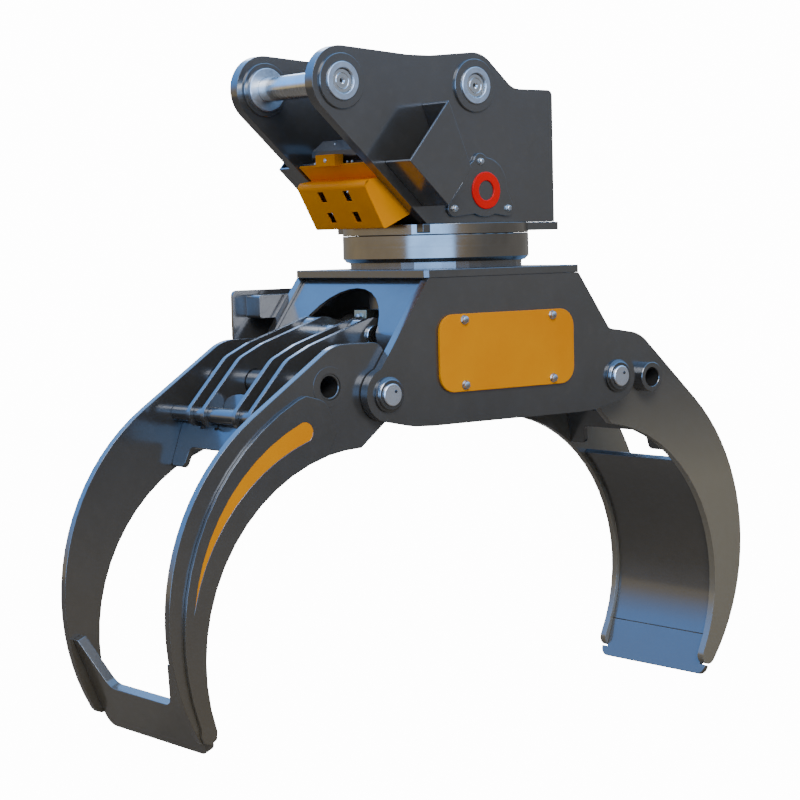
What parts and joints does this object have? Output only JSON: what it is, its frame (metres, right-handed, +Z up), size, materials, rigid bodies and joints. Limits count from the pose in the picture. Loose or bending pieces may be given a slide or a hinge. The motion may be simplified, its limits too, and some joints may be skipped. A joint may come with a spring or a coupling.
{
  "type": "log grapple",
  "caption": "Rotating log grapple: pin-on bracket with slewing rotator, box frame and two curved tines closed together by twin hydraulic cylinders.",
  "frame": {"origin": "middle of the front arm pin, on its axis", "axes": "+Z up, +X from the front arm pin toward the rear arm pin and along the line of the tine pivots, +Y from the near side to the far side"},
  "size_m": [1.5633, 0.5115, 1.38],
  "materials": {
    "dark_paint": "satin dark grey paint",
    "orange_paint": "satin orange paint",
    "machined_steel": "turned steel",
    "bright_steel": "ground and plated steel",
    "bush_steel": "ground bush in a painted boss",
    "zinc_steel": "zinc plated"
  },
  "bodies": {
    "bracket": {"ear_plate_near": "dark_paint", "ear_plate_far": "dark_paint", "pin_boss_front_near": "bush_steel", "pin_boss_front_far": "bush_steel", "pin_boss_rear_near": "bush_steel", "pin_boss_rear_far": "bush_steel", "arm_pin_front": "bright_steel", "arm_pin_rear": "bright_steel", "base_plate": "dark_paint", "bracket_end_plate": "dark_paint", "bracket_front_plate": "dark_paint", "hose_channel_near": "dark_paint", "hose_channel_far": "dark_paint", "side_cover": "dark_paint", "valve_guard": "orange_paint", "valve_cover": "dark_paint", "flange_disc": "machined_steel", "rotator_housing": "machined_steel", "slew_motor": "dark_paint"},
    "slew_pinion": {"slew_pinion": "machined_steel"},
    "lower_frame": {"slew_ring": "machined_steel", "top_plate": "dark_paint", "side_plate_near": "dark_paint", "side_plate_far": "dark_paint", "end_plate_left": "dark_paint", "end_plate_right": "dark_paint", "pivot_pin_left": "bright_steel", "pivot_pin_right": "bright_steel", "collar_left_near": "machined_steel", "collar_left_far": "machined_steel", "collar_right_near": "machined_steel", "collar_right_far": "machined_steel", "cover_panel": "orange_paint", "far_guard": "dark_paint", "clamp_strap": "dark_paint", "hose_clamp": "zinc_steel", "elbow_pipe": "bright_steel"},
    "left_tine": {"left_tine_plate_near": "dark_paint", "left_tine_plate_far": "dark_paint", "left_lever_frame": "dark_paint", "left_upper_tube": "dark_paint", "left_lower_bar": "dark_paint", "left_lever_pin": "bright_steel", "left_cross_plate": "dark_paint", "left_overlay_near": "dark_paint", "left_overlay_far": "dark_paint", "left_lip": "dark_paint"},
    "right_tine": {"right_tine_plate_near": "dark_paint", "right_tine_plate_far": "dark_paint", "right_lever_frame": "dark_paint", "right_upper_tube": "dark_paint", "right_lower_bar": "dark_paint", "right_lever_pin": "bright_steel", "right_cross_plate": "dark_paint", "right_shell": "dark_paint", "right_lip": "dark_paint"},
    "barrel_near": {"cylinder_barrel_near": "dark_paint"},
    "barrel_far": {"cylinder_barrel_far": "dark_paint"},
    "rod_near": {"cylinder_rod_near": "bright_steel"},
    "rod_far": {"cylinder_rod_far": "bright_steel"}
  },
  "joints": [
    {"name": "slew", "type": "hinge", "parent": "bracket", "child": "lower_frame", "pos_m": [0.3458, 0, -0.6078], "axis": [0, 0, 1], "continuous": true},
    {"name": "pinion_spin", "type": "hinge", "parent": "bracket", "child": "slew_pinion", "pos_m": [0.4583, 0, -0.6078], "axis": [0, 0, 1], "continuous": true},
    {"name": "left_tine_close", "type": "hinge", "parent": "lower_frame", "child": "left_tine", "pos_m": [0.0358, 0, -0.6078], "axis": [0, -1, 0], "range_deg": [0, 52]},
    {"name": "right_tine_close", "type": "hinge", "parent": "lower_frame", "child": "right_tine", "pos_m": [0.6558, 0, -0.6078], "axis": [0, 1, 0], "range_deg": [0, 52]},
    {"name": "barrel_swing_near", "type": "hinge", "parent": "left_tine", "child": "barrel_near", "pos_m": [0.0878, -0.08, -0.4978], "axis": [0, -1, 0], "range_deg": [-53.5, 0]},
    {"name": "rod_slide_near", "type": "slide", "parent": "barrel_near", "child": "rod_near", "axis": [0.9999, 0, 0.0122], "range_m": [0, 0.2138]},
    {"name": "barrel_swing_far", "type": "hinge", "parent": "left_tine", "child": "barrel_far", "pos_m": [0.0878, 0.08, -0.4978], "axis": [0, -1, 0], "range_deg": [-53.5, 0]},
    {"name": "rod_slide_far", "type": "slide", "parent": "barrel_far", "child": "rod_far", "axis": [0.9999, 0, 0.0122], "range_m": [0, 0.2138]}
  ],
  "couplings": [
    {"joint": "pinion_spin", "follows": "slew", "ratio": 4},
    {"joint": "right_tine_close", "follows": "left_tine_close", "ratio": 1},
    {"joint": "barrel_swing_near", "follows": "left_tine_close", "ratio": -1.0285},
    {"joint": "rod_slide_near", "follows": "left_tine_close", "m_per_rad": 0.2355},
    {"joint": "barrel_swing_far", "follows": "left_tine_close", "ratio": -1.0285},
    {"joint": "rod_slide_far", "follows": "left_tine_close", "m_per_rad": 0.2355}
  ]
}
